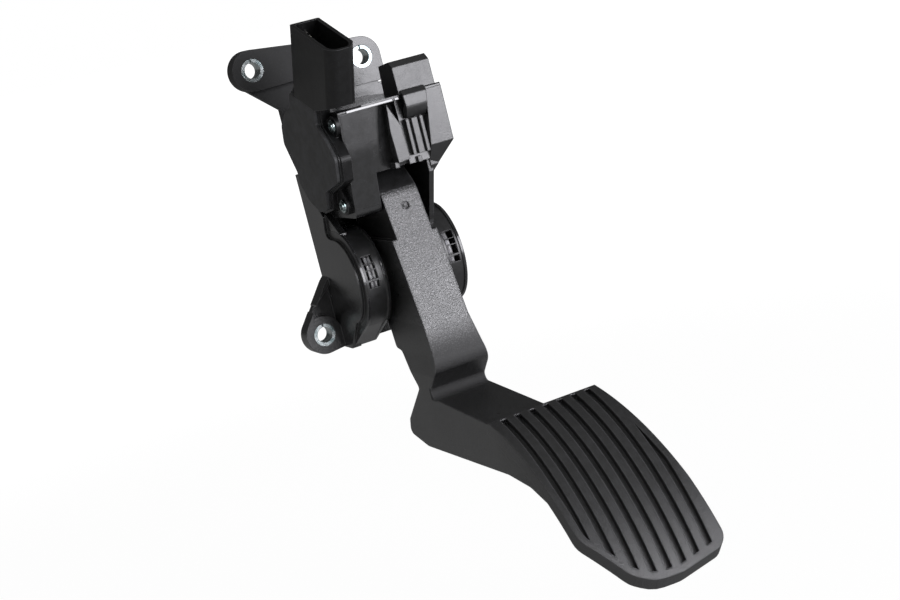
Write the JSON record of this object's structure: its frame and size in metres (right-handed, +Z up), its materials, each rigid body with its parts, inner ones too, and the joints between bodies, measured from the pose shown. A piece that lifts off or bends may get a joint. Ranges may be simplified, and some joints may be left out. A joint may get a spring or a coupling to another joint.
{
  "type": "accelerator pedal sensor",
  "caption": "Hanging accelerator pedal in a black plastic bracket, with a side-mounted angle sensor, an upright plug socket, sprung drums and a wide ribbed foot pad",
  "frame": {"origin": "on the bracket's mounting face, in the arm's mid plane at the height of the pivot pin", "axes": "X along the pivot pin to the driver's right, Y into the bulkhead, Z up"},
  "size_m": [0.0854, 0.1868, 0.2319],
  "materials": {
    "black_plastic": "satin",
    "dark_plastic": "matte",
    "zinc_steel": "satin",
    "spring_steel": "satin",
    "black_rubber": "matte",
    "tinned_brass": "satin",
    "board_green": "satin",
    "bronze": "satin",
    "pale_plastic": "matte",
    "magnet": "matte"
  },
  "bodies": {
    "bracket": {"bracket_housing": "black_plastic", "bush_upper_left": "zinc_steel", "bush_upper_right": "zinc_steel", "bush_lower_left": "zinc_steel", "return_spring_left": "spring_steel", "return_spring_right": "spring_steel", "pivot_pin": "zinc_steel", "pin_clip": "spring_steel", "stop_carrier": "black_plastic", "full_stop_buffer": "black_rubber", "idle_stop_buffer": "black_rubber", "sensor_housing": "black_plastic", "sensor_cover": "dark_plastic", "sensor_gasket": "black_rubber", "sensor_screws": "zinc_steel", "connector_pins": "tinned_brass", "circuit_board": "board_green", "hall_chips": "dark_plastic", "rotor_axle": "zinc_steel"},
    "pedal": {"pedal_arm": "black_plastic", "pivot_sleeve_left": "bronze", "pivot_sleeve_right": "bronze", "friction_ring_left": "pale_plastic", "friction_ring_right": "pale_plastic"},
    "rotor": {"rotor_lever": "dark_plastic", "rotor_magnet": "magnet"}
  },
  "joints": [
    {"name": "pedal_hinge", "type": "hinge", "parent": "bracket", "child": "pedal", "pos_m": [0, -0.0265, 0], "axis": [1, 0, 0], "range_deg": [0, 15], "stiffness_Nm_per_rad": 4, "springref_deg": -51.57, "deforming": ["return_spring_left", "return_spring_right"]},
    {"name": "rotor_hinge", "type": "hinge", "parent": "bracket", "child": "rotor", "pos_m": [0, -0.03, 0.056], "axis": [1, 0, 0], "range_deg": [-31, 1]}
  ],
  "couplings": [
    {"joint": "rotor_hinge", "follows": "pedal_hinge", "ratio": -2}
  ]
}
